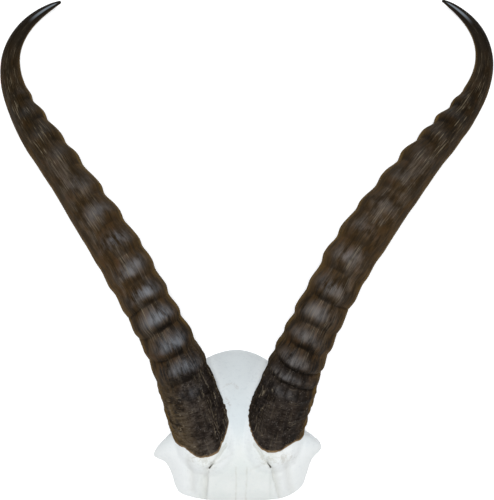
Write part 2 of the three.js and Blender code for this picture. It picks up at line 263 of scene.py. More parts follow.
def through(stations, place):
    """A cubic through (place, value) stations, its slope at each taken between its neighbours."""
    places, values = np.array(stations, float).T
    slopes = np.empty_like(values)
    steps = np.diff(values) / np.diff(places)
    slopes[0], slopes[-1] = steps[0], steps[-1]
    slopes[1:-1] = (values[2:] - values[:-2]) / (places[2:] - places[:-2])
    k = np.clip(np.searchsorted(places, place, side="right") - 1, 0, len(places) - 2)
    h = places[k + 1] - places[k]
    t = (place - places[k]) / h
    return (
        (2 * t**3 - 3 * t**2 + 1) * values[k]
        + (t**3 - 2 * t**2 + t) * h * slopes[k]
        + (3 * t**2 - 2 * t**3) * values[k + 1]
        + (t**3 - t**2) * h * slopes[k + 1]
    )


def lattice(u, v, cells, seed):
    """Smooth noise from -1 to 1 over u and v in 0..1: random values on a grid of cells that wraps
    round in u, blended between its corners by 3t^2 - 2t^3."""
    across, along = cells
    table = np.random.default_rng(seed).uniform(-1, 1, (across, along + 2))
    x = u * across
    y = np.clip(v, 0, 1) * along
    column = np.floor(x).astype(int)
    row = np.floor(y).astype(int)
    tx = smooth(0, 1, x - column)
    ty = smooth(0, 1, y - row)
    left = column % across
    right = (column + 1) % across
    low = table[left, row] * (1 - tx) + table[right, row] * tx
    high = table[left, row + 1] * (1 - tx) + table[right, row + 1] * tx
    return low * (1 - ty) + high * ty


def layered(u, v, cells, seed, layers=3):
    """A sum of lattices, each with twice the cells and half the height of the one before."""
    total = 0
    for k in range(layers):
        total = total + lattice(u, v, (cells[0] * 2**k, cells[1] * 2**k), seed + k) / 2**k
    return total


def closed_mesh(name, rows, first, last, attributes):
    """Rows of points that run clockwise, seen from outside the first end, joined by quads, with a
    fan of triangles to the single point at each end. Attributes hold a value for each point."""
    count, columns = rows.shape[:2]
    number = 1 + np.arange(count * columns).reshape(count, columns)
    right = np.roll(number, -1, axis=1)
    quads = np.stack([number[:-1], right[:-1], right[1:], number[1:]], axis=-1).reshape(-1, 4)
    ends = np.zeros(columns, int)
    start = np.stack([ends, right[0], number[0]], axis=-1)
    finish = np.stack([ends + count * columns + 1, number[-1], right[-1]], axis=-1)
    points = (np.vstack([first, rows.reshape(-1, 3), last]) + SHIFT) * METRE
    mesh = bpy.data.meshes.new(name)
    mesh.from_pydata(points, [], start.tolist() + quads.tolist() + finish.tolist())
    for key, values in attributes.items():
        flat = values.reshape(count * columns, -1)
        padded = np.vstack([flat[:1], flat, flat[-1:]])
        kind, field = ("FLOAT", "value") if flat.shape[1] == 1 else ("FLOAT_VECTOR", "vector")
        mesh.attributes.new(key, kind, "POINT").data.foreach_set(field, padded.ravel())
    mesh.shade_smooth()
    made = bpy.data.objects.new(name, mesh)
    bpy.context.scene.collection.objects.link(made)
    return made


# ------------------------------------------------------------------ the bone

def outline(count):
    """The plan outline: a uniform Catmull-Rom curve through its corners, which is
    (2b + (c - a)t + (2a - 5b + 4c - d)t^2 + (3b - a - 3c + d)t^3) / 2 from b to c, taken at
    equal distances."""
    b = np.array(SKULL_OUTLINE, float)
    a, c, d = np.roll(b, 1, axis=0), np.roll(b, -1, axis=0), np.roll(b, -2, axis=0)
    t = np.linspace(0, 1, OUTLINE_STEPS, endpoint=False)[None, :, None]
    a, b, c, d = (corner[:, None, :] for corner in (a, b, c, d))
    bend = (2 * a - 5 * b + 4 * c - d) * t**2 + (3 * b - a - 3 * c + d) * t**3
    curve = ((2 * b + (c - a) * t + bend) / 2).reshape(-1, 2)
    closed = np.vstack([curve, curve[:1]])
    travelled = np.r_[0, np.cumsum(np.hypot(*np.diff(closed, axis=0).T))]
    places = np.linspace(0, travelled[-1], count, endpoint=False)
    return np.stack([np.interp(places, travelled, closed[:, k]) for k in (0, 1)], axis=-1)


EDGE = outline(EDGE_POINTS)
EDGE_ANGLE = np.arctan2(*(EDGE - TOP_CENTRE).T[::-1])
EDGE_REACH = np.hypot(*(EDGE - TOP_CENTRE).T)


def pedicle_share(horn, x, y):
    """How fully a horn's bony foot stands, 0 to 1: a rise at its front, whose line bows back with
    the square of the distance aside, times falls at its flanks and at its back."""
    heading = np.radians(horn["heading"][0][1])
    dx, dy = x - horn["base"][0], y - horn["base"][1]
    ahead = dx * np.cos(heading) + dy * np.sin(heading)
    aside = np.abs(dx * np.sin(heading) - dy * np.cos(heading))
    from_front = ahead - PEDICLE["bow"] * aside**2
    rise = smooth(PEDICLE["front"] - PEDICLE["slope"], PEDICLE["front"], from_front)
    flank = 1 - smooth(PEDICLE["half"], PEDICLE["half"] + PEDICLE["flank"], aside)
    back = 1 - smooth(PEDICLE["back"], PEDICLE["back"] + PEDICLE["fade"], ahead)
    return rise * flank * back


def skull_height(x, y, u):
    """Height of the bone: the profile over the midline, less a fall with the square of the
    distance from it, drawn up to the pedicles and stepped at the brow, then rounded down to the
    edge, by the square root of 1 less a power of u round the crown and by a higher power of u at
    the brow."""
    across = np.abs(x - MIDLINE_X)
    vault = through(SKULL_PROFILE, y) - SIDE_FALL * across**2
    for horn in (LEFT_HORN, RIGHT_HORN):
        vault = vault + (PEDICLE["top"] - vault) * pedicle_share(horn, x, y)
    panel = 1 - smooth(BROW_STEP["offset"], BROW_STEP["offset"] + BROW_STEP["width"], across)
    forward = 1 - smooth(BROW_STEP["front"], BROW_STEP["back"], y)
    vault = vault + BROW_STEP["height"] * panel * forward
    away = np.hypot(x - TOP_CENTRE[0], y - TOP_CENTRE[1])
    crown = smooth(*CROWN_BEARING, (y - TOP_CENTRE[1]) / np.maximum(away, 1e-6))
    inside = np.minimum(u, 1)
    rounding = np.sqrt(1 - inside**CROWN_ROUNDING)
    rounded = CROWN_EDGE + (vault - CROWN_EDGE) * (1 - crown + crown * rounding)
    return rounded - (1 - crown) * LIP_FALL * inside**LIP_POWER


def part_of_reach(x, y):
    """How far (x, y) lies from the centre of the bone's top to its outline, as a part of it."""
    angle = np.arctan2(y - TOP_CENTRE[1], x - TOP_CENTRE[0])
    reach = np.interp(angle, EDGE_ANGLE, EDGE_REACH, period=TURN)
    return np.hypot(x - TOP_CENTRE[0], y - TOP_CENTRE[1]) / reach


# ------------------------------------------------------------------ the horns

def horn_axis(horn):
    """Distances, points and directions of the axis, which is the running sum of its directions."""
    s = np.arange(-1.0, horn["length"] + 0.5, 1.0)

    def direction(place):
        heading = np.radians(through(horn["heading"], np.maximum(place, 0)))
        rise = np.radians(through(HORN_RISE, np.maximum(place, 0)))
        flat = np.cos(rise)
        return np.stack([flat * np.cos(heading), flat * np.sin(heading), np.sin(rise)], axis=-1)

    start = np.array(horn["base"]) - direction(np.zeros(1))[0]
    points = np.vstack([start, start + np.cumsum(direction(s[:-1] + 0.5), axis=0)])
    return s, points, direction(s)


def ring_grooves(horn):
    """Groove places: each lies before its crest by a fixed part of the pitch."""
    rings = np.array(horn["rings"], float)
    first = rings[0] - RING_RISE_PART * (rings[1] - rings[0])
    between = rings[1:] - RING_RISE_PART * np.diff(rings)
    last = rings[-1] + (1 - RING_RISE_PART) * (rings[-1] - rings[-2])
    return np.r_[first, between, last]


def ring_wave(horn, s):
    """0 in a groove and 1 on a crest: the sine, to the power of the sharpness, of pi times a phase
    that runs from 0 to 1 over a ring and is 0.5 on its crest. Also the phase, and the distance to
    the nearest groove."""
    rings = np.array(horn["rings"], float)
    cuts = ring_grooves(horn)
    k = np.clip(np.searchsorted(cuts, s, side="right") - 1, 0, len(rings) - 1)
    rising = 0.5 * (s - cuts[k]) / (rings[k] - cuts[k])
    falling = 0.5 + 0.5 * (s - rings[k]) / (cuts[k + 1] - rings[k])
    phase = np.clip(np.where(s < rings[k], rising, falling), 0, 1)
    ringed = (s > cuts[0]) & (s < cuts[-1])
    nearest = np.minimum(np.abs(s - cuts[k]), np.abs(s - cuts[k + 1]))
    return np.where(ringed, np.sin(np.pi * phase) ** RING_SHARPNESS, 0), phase, nearest


def ring_height(horn, s, angle):
    """Ring height: full where the rings face, and less by a power of (1 + cos) / 2 of the angle
    from there, down to a least share opposite. It grows in over the first ring and dies away."""
    change = smooth(*RING_CHANGE, s / horn["length"])

    def changed(pair):
        return pair[0] + (pair[1] - pair[0]) * change

    turned = angle - horn["medial"] * np.radians(changed(RING_FACING))
    facing = ((1 + np.cos(turned)) / 2) ** RING_SPREAD
    least = changed(RING_LEAST)
    begun = smooth(*RING_GROWTH, s - horn["rings_from"])
    fade = begun * (1 - smooth(*RING_LAST, s))
    return changed(RING_HEIGHT) * fade * (least + (1 - least) * facing)


def horn_point(horn, s, angle, relief):
    """A point of the horn: the axis at s, plus the front direction times cos(angle) and the side
    direction times sin(angle), each times its half width grown by the relief."""
    places, points, directions = horn_axis(horn)
    centre = np.stack([np.interp(s, places, points[:, k]) for k in range(3)], axis=-1)
    along = np.stack([np.interp(s, places, directions[:, k]) for k in range(3)], axis=-1)
    along /= np.linalg.norm(along, axis=-1, keepdims=True)
    front = np.array([0, 0, 1.0]) - along * along[..., 2:]
    front /= np.linalg.norm(front, axis=-1, keepdims=True)
    side = np.cross(along, front)
    part = np.maximum(s, 0) / horn["length"]
    width = through(HORN_HALF_WIDTH, part)
    depth = HORN_DEPTH[0] + (HORN_DEPTH[1] - HORN_DEPTH[0]) * part
    ahead = (width + relief) * depth * np.cos(angle)
    aside = (width + relief) * np.sin(angle)
    return centre + front * ahead[..., None] + side * aside[..., None]


def seat_line(horn, angle):
    """The distance along the horn at which each of its lines leaves the bone for good, averaged
    over nine neighbours."""
    s = np.arange(*SEAT_PLACES)
    points = horn_point(horn, s[:, None], angle[None, :], np.zeros((len(s), len(angle))))
    x, y, z = np.moveaxis(points, -1, 0)
    share = part_of_reach(x, y)
    buried = (z < skull_height(x, y, share)) & (share < 1)
    last = len(s) - 1 - buried[::-1].argmax(axis=0)
    line = np.where(buried.any(axis=0), s[last], 0)
    padded = np.r_[line[-4:], line, line[:4]]
    return np.convolve(padded, np.ones(9) / 9, mode="valid")


def horn_relief(horn, s, angle, from_rim):
    """Everything that stands on the plain horn, in millimetres, and the masks that its finish
    reads: rings, cracks in the grooves of the lower ones, broad lumps, long fibres, a lip round
    the rim, and near the base flakes, which are the fractional part of a noise, and wrinkles,
    which are the third power of 1 - |noise|."""
    u, v = angle / TURN, s / horn["length"]
    part = np.clip(v, 0, 1)

    def noise(key):
        cells, draw, layers = HORN_CELLS[key]
        return layered(u, v, cells, horn["seed"] + draw, layers)

    stray = RINGS_STRAY[0] * noise("stray") + RINGS_STRAY[1] * noise("tremble")
    wave, phase, nearest = ring_wave(horn, s + stray)
    height = ring_height(horn, s, angle) * (1 + 0.25 * noise("height"))
    lower = 1 - smooth(*LOWER_END, s)
    ahead = np.cos(angle - MASKS_FACE * horn["medial"])
    in_front = np.exp((ahead - 1) / FRONT_SHARPNESS)
    turned = angle - horn["medial"] * (MASKS_FACE + MASKS_TURN * smooth(0.35, 0.6, part))
    before = np.exp((np.cos(turned) - 1) / GROOVE_SHARPNESS)
    rings = (wave - 0.5) * height * (1 + 0.35 * in_front * lower)
    outer = smooth(0.2, -0.5, np.sin(angle) * horn["medial"])
    cut = bump(nearest, CRACK_WIDTH) * smooth(0, 0.6, height) * lower * (0.1 + 0.9 * outer)
    cut = cut * smooth(-0.7, 0.1, noise("cuts"))
    rough = 1 - smooth(*ROUGH_END, part)
    lumps = (LUMP_HEIGHT * noise("lumps") + FIBRE_HEIGHT * noise("fibres")) * rough
    medial = 0.5 + 0.5 * np.sin(angle * horn["medial"])
    low = 1 - smooth(*LEATHER_END, s + 9 * noise("leather") - 14 * medial)
    field = 2.2 * noise("flakes")
    flakes = (field - np.floor(field) - 0.5) * low * (0.2 + 0.8 * medial)
    crumpled = (1 - np.abs(noise("crumpled"))) ** 3 * low * (1 - 0.6 * medial)
    lip = (1 - np.exp(-((from_rim + 0.3) / 0.35) ** 2)) * np.exp(-from_rim / 5)
    relief = rings - CUT_DEPTH * cut + lumps + LIP_HEIGHT * lip
    relief = relief + FLAKE_HEIGHT * flakes + CRUMPLE_HEIGHT * crumpled
    shown = height / RING_HEIGHT[0]
    masks = {
        # The crests' fronts: worn patches and a painted highlight of the lamp go here.
        "crest": bump(phase - 0.6, 0.2) * in_front * shown,
        # The base side of each crest: dirt and painted shade go here.
        "groove": bump(phase - 0.1, 0.17) * before * shown,
        "cut": cut,
        "flake": smooth(0.22, 0.42, flakes) + smooth(0.75, 0.97, crumpled),
        "low": low,
    }
    return relief, masks


def horn_piece(horn):
    """One horn: columns at equal angles, whose lines start at the seat, a little further up where
    a bell in the angle draws the rim back, and share their distances from the blend's end up. It
    is closed by a point inside the bone and by the tip."""
    angle = np.arange(HORN_COLUMNS) / HORN_COLUMNS * TURN
    ragged = RAGGED * lattice(angle / TURN, 0, (40, 1), horn["seed"] + 20)
    middle, width, drawn_back = horn["rim"]
    turned = (np.degrees(angle) * horn["medial"] - middle + 180) % 360 - 180
    start = seat_line(horn, angle) - RIM_BURIED + ragged + drawn_back * bump(turned, width)
    grid = np.linspace(0, 1, HORN_ROWS) ** HORN_ROW_POWER * horn["length"]
    share = np.clip(1 - grid / RIM_BLEND_END, 0, 1)[:, None]
    s = grid[:, None] + start[None, :] * share
    around = np.broadcast_to(angle, s.shape)
    from_rim = s - start
    relief, masks = horn_relief(horn, s, around, from_rim)
    relief[0] -= RIM_TUCKED
    points = horn_point(horn, s, around, relief)
    width = through(HORN_HALF_WIDTH, np.clip(s / horn["length"], 0, 1))
    fibre = np.stack([width * np.cos(around), width * np.sin(around), s], axis=-1)
    attributes = {
        "fibre": fibre,
        "part": s / horn["length"],
        "facing": np.cos(around),
        "aside": np.sin(around) * horn["medial"],
        "rim": np.exp(-from_rim / RIM_REACH),
        "pale": np.full(s.shape, horn["pale"]),
        **masks,
    }
    places, axis, _ = horn_axis(horn)
    root = np.array([np.interp(ROOT_PLACE, places, axis[:, k]) for k in range(3)])
    return closed_mesh(horn["name"] + "_sheath", points, root, axis[-1], attributes)


# ------------------------------------------------------------------ the skull piece

def hollow_depth(edge):
    """How far the wall is hollowed inwards at the saw cut: half an ellipse for each hollow."""
    depth = np.zeros(len(edge))
    for centre, reach, deepest in SIDE_HOLLOWS:
        away = np.hypot(*(edge - centre).T) / reach
        depth = np.maximum(depth, deepest * np.sqrt(np.clip(1 - away**2, 0, 1)))
    return depth


def beside(x, y, segment):
    """Distance from (x, y) to a segment in plan, signed to be positive towards the outer side of
    the skull, and how far along it the nearest point lies, 0 to 1."""
    (ax, ay), (bx, by) = segment
    dx, dy = bx - ax, by - ay
    t = np.clip(((x - ax) * dx + (y - ay) * dy) / (dx * dx + dy * dy), 0, 1)
    across = x - ax - t * dx
    outward = np.where(ax < MIDLINE_X, -across, across)
    return np.hypot(across, y - ay - t * dy) * np.sign(outward + 1e-9), t


def horn_shade(x, y):
    """Where the bone lies close to a horn in plan: a bell of the distance past the horn's side,
    and the slope up to its bony foot, which is a power of 4 share (1 - share). The bone's finish
    paints light on both, against the horns' shade and the darker slopes."""
    close, slope = np.zeros_like(x), np.zeros_like(x)
    for horn in (LEFT_HORN, RIGHT_HORN):
        places, points, _ = horn_axis(horn)
        for s in HORN_PLACES:
            px, py = (np.interp(s, places, points[:, k]) for k in (0, 1))
            past = np.hypot(x - px, y - py) - through(HORN_HALF_WIDTH, np.array(s / horn["length"]))
            close = np.maximum(close, bump(np.maximum(past, 0), CLOSE_TO_HORN))
        share = pedicle_share(horn, x, y)
        slope = np.maximum(slope, (4 * share * (1 - share)) ** FOOT_SLOPE_POWER)
    return close, slope


def skull_detail(x, y):
    """Low relief of the bone's top, in millimetres, and its masks. Each line of the brow gives a
    bell across it. The panel's edge is a step down outwards that recovers over a few
    millimetres."""
    (left, wide), (front, deep) = SKULL_FIELD
    u, v = (x - left) / wide, (y - front) / deep

    def noise(key):
        return layered(u, v, *SKULL_CELLS[key])

    waver = LINE_WAVER[0] * noise("waver") + LINE_WAVER[1] * noise("tremble")

    def bells(segments, width, fade=0.0):
        total = np.zeros_like(x)
        for segment in segments:
            away, along = beside(x + waver, y, segment)
            total = np.maximum(total, bump(away, width) * (1 - fade * along))
        return total

    slit = bells(SLITS, SLIT_WIDTH + SLIT_VARIES * noise("slits"), SLIT_FADE)
    vein = bells(VEINS, VEIN_WIDTH) * smooth(-0.3, 0.5, noise("veins"))
    suture = bells(SUTURES, SUTURE_WIDTH) * (0.7 + 0.3 * noise("sutures"))
    brow = bells(BROWS, BROW_WIDTH)
    step = np.zeros_like(x)
    for segment in PANEL_EDGES:
        away, along = beside(x + waver, y, segment)
        down = smooth(-0.4, 0.5, away) * np.exp(-np.maximum(away, 0) / PANEL_RECOVERS)
        step = np.maximum(step, down * smooth(0.0, 0.05, along))
    relief = SWELLINGS * noise("swellings") + GRAININESS * noise("grain")
    for segments, width, fade, height in LINE_RELIEF:
        relief = relief + height * bells(segments, width, fade)
    relief = relief - SLIT_DEPTH * slit - PANEL_STEP * step - SUTURE_DEPTH * suture
    relief = relief + brow * (BROW_ROUGHNESS * noise("brows") + BROW_SWELLING)
    relief = relief + RIDGE_WRINKLES * bells(RIDGES, RIDGE_WIDTH) * noise("ridges")
    # Painted shadow beside the panel's raised edge and dark seams, then painted shade along the
    # lines.
    grime_and_shade = np.maximum(0.4 * step + 0.6 * step**2, suture)
    for segments, width, fade, share in LINE_PAINTED_SHADE:
        grime_and_shade = np.maximum(grime_and_shade, share * bells(segments, width, fade))
    # Where light is painted on the bone: beside the horns, and on the slopes of their feet.
    close, slope = horn_shade(x, y)
    masks = {"slit": slit, "grime_and_shade": grime_and_shade, "vein": vein, "rough": brow}
    return relief, {**masks, "close": close, "slope": slope}


def skull_piece():
    """The bone in one closed grid: over the top, down the lip, in under it by a quarter ellipse,
    along the saw cut, and up inside the hollow of the brain by another quarter ellipse."""
    edge = outline(SKULL_COLUMNS)
    share = np.sin(np.linspace(0, np.pi / 2, TOP_ROWS + 1)[1:])[:, None]
    x = TOP_CENTRE[0] + share * (edge[:, 0] - TOP_CENTRE[0])
    y = TOP_CENTRE[1] + share * (edge[:, 1] - TOP_CENTRE[1])
    detail, masks = skull_detail(x, y)
    kept = 1 - share**DETAIL_ENDS
    top = np.stack([x, y, skull_height(x, y, share) + detail * kept], axis=-1)
    rim = top[-1, :, 2]
    lip = np.minimum(LIP_THICKNESS, rim / 2)
    inward = np.roll(edge, -1, axis=0) - np.roll(edge, 1, axis=0)
    inward = np.stack([inward[:, 1], -inward[:, 0]], axis=-1)
    inward /= np.hypot(*inward.T)[:, None]
    drop = np.linspace(0, 1, LIP_ROWS + 1)[1:, None]
    lips = np.stack([edge[:, 0] + 0 * drop, edge[:, 1] + 0 * drop, rim - lip * drop], axis=-1)
    turn = np.linspace(0, np.pi / 2, WALL_ROWS + 1)[1:, None]
    reach = hollow_depth(edge) * np.sin(turn)
    walls = np.stack(
        [
            edge[:, 0] + inward[:, 0] * reach,
            edge[:, 1] + inward[:, 1] * reach,
            (rim - lip) * np.cos(turn),
        ],
        axis=-1,
    )
    bearing = np.arctan2(*(edge - BRAIN_CENTRE).T[::-1])
    around = np.stack([np.cos(bearing), np.sin(bearing)], axis=-1) * BRAIN_HALF + BRAIN_CENTRE
    step = np.linspace(0, 1, CUT_ROWS + 1)[1:, None, None]
    cut = walls[-1][None, :, :2] * (1 - step) + around[None] * step
    cuts = np.concatenate([cut, np.zeros_like(cut[..., :1])], axis=-1)
    climb = np.linspace(0, np.pi / 2, HOLLOW_ROWS, endpoint=False)[1:, None]
    hollow = np.stack(
        [
            BRAIN_CENTRE[0] + (around[:, 0] - BRAIN_CENTRE[0]) * np.cos(climb),
            BRAIN_CENTRE[1] + (around[:, 1] - BRAIN_CENTRE[1]) * np.cos(climb),
            BRAIN_HEIGHT * np.sin(climb) + 0 * bearing,
        ],
        axis=-1,
    )
    rows = np.concatenate([top, lips, walls, cuts, hollow])
    blank = np.zeros((len(rows) - len(top), SKULL_COLUMNS))
    attributes = {key: np.vstack([mask, blank]) for key, mask in masks.items()}
    middle = np.array([*TOP_CENTRE, skull_height(*TOP_CENTRE.astype(float), 0.0)])
    inner = np.array([*BRAIN_CENTRE, BRAIN_HEIGHT])
    return closed_mesh("skull_bone", rows, middle, inner, attributes)


# ------------------------------------------------------------------ materials

class Link:
    """A socket of a material's node, so that shader maths is written as Python maths."""

    def __init__(self, finish, socket):
        self.finish = finish
        self.socket = socket

    def maths(self, operation, first, second=0.0):
        return self.finish.node("Math", {"operation": operation}, {0: first, 1: second})

    def __add__(self, other):
        return self.maths("ADD", self, other)

    def __sub__(self, other):
        return self.maths("SUBTRACT", self, other)

    def __rsub__(self, other):
        return self.maths("SUBTRACT", other, self)

    def __mul__(self, other):
        return self.maths("MULTIPLY", self, other)

    def __abs__(self):
        return self.maths("ABSOLUTE", self)

    __radd__ = __add__
    __rmul__ = __mul__


class Finish:
    """One material. Every node is made by node(): its type, its settings, then its sockets."""

    def __init__(self, name):
        self.material = bpy.data.materials.new(name)
        self.material.use_nodes = True
        self.tree = self.material.node_tree
        self.tree.nodes.clear()

    def node(self, kind, settings, sockets, output=0):
        made = self.tree.nodes.new("ShaderNode" + kind)
        for key, value in settings.items():
            setattr(made, key, value)
        for key, value in sockets.items():
            if isinstance(value, Link):
                self.tree.links.new(value.socket, made.inputs[key])
            else:
                made.inputs[key].default_value = value
        return Link(self, made.outputs[output]) if made.outputs else None

    def held(self, name):
        """A number that the mesh holds for each point."""
        return self.node("Attribute", {"attribute_name": name}, {}, "Fac")

    def noise(self, vector, scale, detail=3.0, roughness=0.55):
        sockets = {"Vector": vector, "Scale": scale, "Detail": detail, "Roughness": roughness}
        return self.node("TexNoise", {}, sockets, 0)

    def step(self, value, low, high):
        """0 to 1 as value goes from low to high, smoothly."""
        settings = {"interpolation_type": "SMOOTHSTEP"}
        return self.node("MapRange", settings, {0: value, 1: low, 2: high, 3: 0.0, 4: 1.0})

    def mix(self, share, low, high):
        """A colour between two, each a link or red, green and blue as 0-255 screen numbers."""
        low, high = (end if isinstance(end, Link) else colour(*end) for end in (low, high))
        return self.node("Mix", {"data_type": "RGBA"}, {0: share, 6: low, 7: high}, 2)

    def coated(self, base, coats):
        """The base under coats, each a share and a colour, from the lowest up."""
        for share, tint in coats:
            base = self.mix(share, base, tint)
        return base

    def stretched(self, vector, stretch):
        """The vector with each part multiplied by its own number."""
        return self.node("VectorMath", {"operation": "MULTIPLY"}, {0: vector, 1: stretch})

    def done(self, sockets):
        shader = self.node("BsdfPrincipled", {}, sockets)
        self.node("OutputMaterial", {}, {0: shader})
        return self.material


def colour(red, green, blue):
    """A colour written in the usual 0-255 screen numbers, as the shader's linear ones."""
    parts = np.array([red, green, blue]) / 255
    linear = np.where(parts > 0.04045, ((parts + 0.055) / 1.055) ** 2.4, parts / 12.92)
    return (*linear, 1.0)


# Screen colours of the horn, from its fibres up to what lies on them, painted highlights and shade
# among them.
FIBRE_DARK, FIBRE_MID = (17, 12, 7), (56, 41, 23)
TAN, RED_BROWN = (92, 70, 40), (64, 38, 20)
LEATHER_GREY, LEATHER_TAN, LEATHER_DARK = (46, 39, 36), (88, 73, 51), (14, 10, 8)
# The leather's paler colour where it faces up is a painted sheen.
LEATHER_BLACK, LEATHER_PAINTED_SHEEN = (16, 13, 12), (92, 85, 76)
UPPER_DARK, UPPER_OLIVE = (28, 20, 7), (36, 27, 9)
OCHRE, SIDE_LINE = (80, 60, 29), (104, 80, 36)
# Worn crest patches, pale also as a painted highlight; a matt front that is partly a painted sheen.
WORN_SHEEN_GREY, WORN_SHEEN_BLUE, MATT_FRONT_AND_SHEEN = (124, 123, 124), (122, 128, 136), (112, 103, 96)
RING_DARK, GROOVE_DIRT_AND_SHADE, CRACK = (24, 20, 15), (9, 7, 5), (8, 6, 4)
SCRATCH, CREAM, GLINT = (138, 126, 104), (134, 122, 102), (124, 118, 112)
TIP_BLACK, TIP_SHEEN, RIM_TAN = (18, 15, 11), (140, 150, 158), (150, 122, 88)

# Numbers that the horn's mesh holds for each point.
HORN_MASKS = (
    "part", "facing", "aside", "crest", "groove", "pale", "cut", "low", "rim", "flake",
)
STRANDS_ROUND = 14.0  # of the strand coordinates, for each unit of facing and aside
STRANDS_ALONG = 360.0  # of the strand coordinates, over a horn's length
# Noises of the horn: what they follow, how that is stretched, scale, detail and roughness.
HORN_NOISES = {
    "broad": ("fibre", (1, 1, 0.6), 0.1, 3.0, 0.55),
    "clouds": ("fibre", (1, 1, 0.45), 0.22, 5.0, 0.6),
    "mottle": ("fibre", (0.7, 0.7, 1), 0.35, 5.0, 0.7),
    "wrinkle": ("fibre", (0.3, 0.3, 1), 0.7, 4.0, 0.65),
    "ripple": ("fibre", (0.3, 0.3, 1), 0.13, 2.0, 0.55),
    "specks": ("fibre", (1, 1, 1), 0.9, 2.0, 0.5),
    "streaks": ("strand", (1, 1, 0.08), 1.1, 4.0, 0.65),
    "fine": ("strand", (1, 1, 0.06), 1.9, 3.0, 0.65),
    "thin": ("strand", (1, 1, 0.022), 2.2, 2.0, 0.6),
    "sparse": ("strand", (1, 1, 0.07), 1.1, 3.0, 0.6),
}


